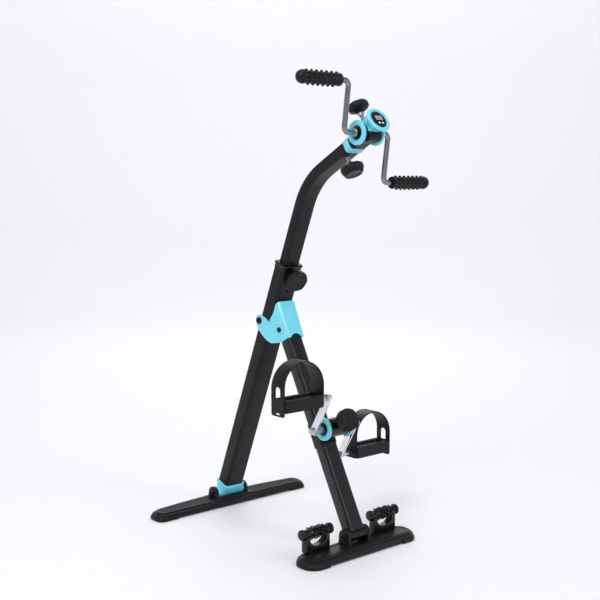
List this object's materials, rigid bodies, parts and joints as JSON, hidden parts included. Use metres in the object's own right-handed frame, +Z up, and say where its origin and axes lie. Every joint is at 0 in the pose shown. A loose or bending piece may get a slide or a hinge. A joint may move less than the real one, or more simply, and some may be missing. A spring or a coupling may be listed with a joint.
{
  "type": "pedal exerciser",
  "caption": "Folding pedal exerciser: an A-frame of two leaning tubes on two flat bases, with a strapped foot crank on the front leg and a hand crank on a telescoping mast.",
  "frame": {"origin": "on the floor under the middle of the machine's bounding box", "axes": "+Z up; X along the crank axles, with +X on the user's right when facing the machine from -Y; -Y points at the seated user; the post rises from the rear base at +Y"},
  "size_m": [0.429, 0.5396, 0.9604],
  "materials": {
    "post_black": "satin black powder coat",
    "leg_black": "gloss black paint",
    "moulded_black": "fine-textured black moulding",
    "blue": "glossy light blue moulding",
    "rubber": "matt black rubber",
    "chrome": "polished chrome plating",
    "steel": "bright machined steel",
    "screen": "grey liquid crystal window",
    "white": "white button cap"
  },
  "bodies": {
    "rear_base": {"rear_base_beam": "moulded_black", "rear_base_foot_left": "rubber", "rear_base_foot_right": "rubber", "rear_pivot_bolt": "steel"},
    "post": {"rear_cuff": "blue", "post_tube": "post_black", "post_bushing": "moulded_black", "fold_screw_left": "steel", "fold_screw_right": "steel"},
    "height_knob": {"height_knob": "moulded_black"},
    "mast": {"mast_tube": "post_black", "mast_glide": "moulded_black", "mast_collar": "blue"},
    "head_lock_knob": {"head_lock_knob": "moulded_black"},
    "head": {"head_housing": "moulded_black", "head_shell": "blue", "display_bezel": "moulded_black", "display_screen": "screen", "head_brake_pad": "rubber", "head_ring_left": "blue", "head_ring_right": "blue", "head_bearing_left": "steel", "head_bearing_right": "steel"},
    "resistance_knob": {"resistance_knob": "moulded_black"},
    "display_button_left": {"display_button_left": "white"},
    "display_button_right": {"display_button_right": "white"},
    "hand_crank": {"hand_axle": "steel", "hand_crank_left": "chrome", "hand_crank_right": "chrome"},
    "grip_left": {"grip_left": "rubber"},
    "grip_right": {"grip_right": "rubber"},
    "leg": {"fold_bracket": "blue", "leg_tube": "leg_black", "leg_bolt": "steel", "crank_saddle": "moulded_black", "foot_brake_pad": "rubber", "leg_ring_left": "blue", "leg_ring_right": "blue", "leg_bearing_left": "steel", "leg_bearing_right": "steel"},
    "tension_knob": {"tension_knob": "moulded_black"},
    "foot_crank": {"foot_axle": "steel", "crank_arm_left": "chrome", "crank_arm_right": "chrome", "pedal_axle_left": "steel", "pedal_axle_right": "steel"},
    "pedal_left": {"pedal_left": "moulded_black", "pedal_strap_left": "rubber"},
    "pedal_right": {"pedal_right": "moulded_black", "pedal_strap_right": "rubber"},
    "front_base": {"front_base_beam": "moulded_black", "front_pivot_bolt": "steel", "front_base_foot_left": "rubber", "front_base_foot_right": "rubber", "roller_bracket_left": "moulded_black", "roller_bracket_right": "moulded_black"},
    "roller_left": {"massage_roller_left": "rubber"},
    "roller_right": {"massage_roller_right": "rubber"}
  },
  "joints": [
    {"name": "post_pivot", "type": "hinge", "parent": "rear_base", "child": "post", "pos_m": [0, 0.24385, 0.028], "axis": [1, 0, 0], "range_deg": [-25, 10]},
    {"name": "mast_height", "type": "slide", "parent": "post", "child": "mast", "axis": [0, -0.3795, 0.9252], "range_m": [-0.028, 0.056]},
    {"name": "height_knob_turn", "type": "hinge", "parent": "post", "child": "height_knob", "pos_m": [0, 0.02528, 0.56092], "axis": [0, -0.9252, -0.3795], "continuous": true},
    {"name": "head_reach", "type": "slide", "parent": "mast", "child": "head", "axis": [0, -0.878, 0.4787], "range_m": [0, 0.04]},
    {"name": "head_lock_turn", "type": "hinge", "parent": "mast", "child": "head_lock_knob", "pos_m": [0, -0.16223, 0.81491], "axis": [0, -0.4787, -0.878], "continuous": true},
    {"name": "resistance_turn", "type": "hinge", "parent": "head", "child": "resistance_knob", "pos_m": [0, -0.22401, 0.85201], "axis": [0, 0.4787, 0.878], "continuous": true},
    {"name": "button_left_press", "type": "slide", "parent": "head", "child": "display_button_left", "axis": [0, 0.8231, -0.5678], "range_m": [0, 0.0008], "stiffness_N_per_m": 300},
    {"name": "button_right_press", "type": "slide", "parent": "head", "child": "display_button_right", "axis": [0, 0.8231, -0.5678], "range_m": [0, 0.0008], "stiffness_N_per_m": 300},
    {"name": "hand_crank_turn", "type": "hinge", "parent": "head", "child": "hand_crank", "pos_m": [0, -0.2205, 0.8501], "axis": [1, 0, 0], "continuous": true},
    {"name": "grip_left_turn", "type": "hinge", "parent": "hand_crank", "child": "grip_left", "pos_m": [-0.136, -0.23349, 0.94622], "axis": [1, 0, 0], "continuous": true},
    {"name": "grip_right_turn", "type": "hinge", "parent": "hand_crank", "child": "grip_right", "pos_m": [0.136, -0.2075, 0.75397], "axis": [1, 0, 0], "continuous": true},
    {"name": "leg_fold", "type": "hinge", "parent": "post", "child": "leg", "pos_m": [0, 0.08385, 0.453], "axis": [1, 0, 0], "range_deg": [0, 45]},
    {"name": "tension_turn", "type": "hinge", "parent": "leg", "child": "tension_knob", "pos_m": [0, -0.13154, 0.24861], "axis": [0, -0.8829, 0.4695], "continuous": true},
    {"name": "foot_crank_turn", "type": "hinge", "parent": "leg", "child": "foot_crank", "pos_m": [0, -0.13154, 0.24861], "axis": [1, 0, 0], "continuous": true},
    {"name": "pedal_left_turn", "type": "hinge", "parent": "foot_crank", "child": "pedal_left", "pos_m": [-0.138, -0.17604, 0.32569], "axis": [1, 0, 0], "continuous": true},
    {"name": "pedal_right_turn", "type": "hinge", "parent": "foot_crank", "child": "pedal_right", "pos_m": [0.138, -0.08704, 0.17153], "axis": [1, 0, 0], "continuous": true},
    {"name": "front_base_pivot", "type": "hinge", "parent": "leg", "child": "front_base", "pos_m": [0, -0.19415, 0.035], "axis": [1, 0, 0], "range_deg": [-50, 10]},
    {"name": "roller_left_turn", "type": "hinge", "parent": "front_base", "child": "roller_left", "pos_m": [-0.094, -0.18015, 0.057], "axis": [1, 0, 0], "continuous": true},
    {"name": "roller_right_turn", "type": "hinge", "parent": "front_base", "child": "roller_right", "pos_m": [0.094, -0.18015, 0.057], "axis": [1, 0, 0], "continuous": true}
  ]
}
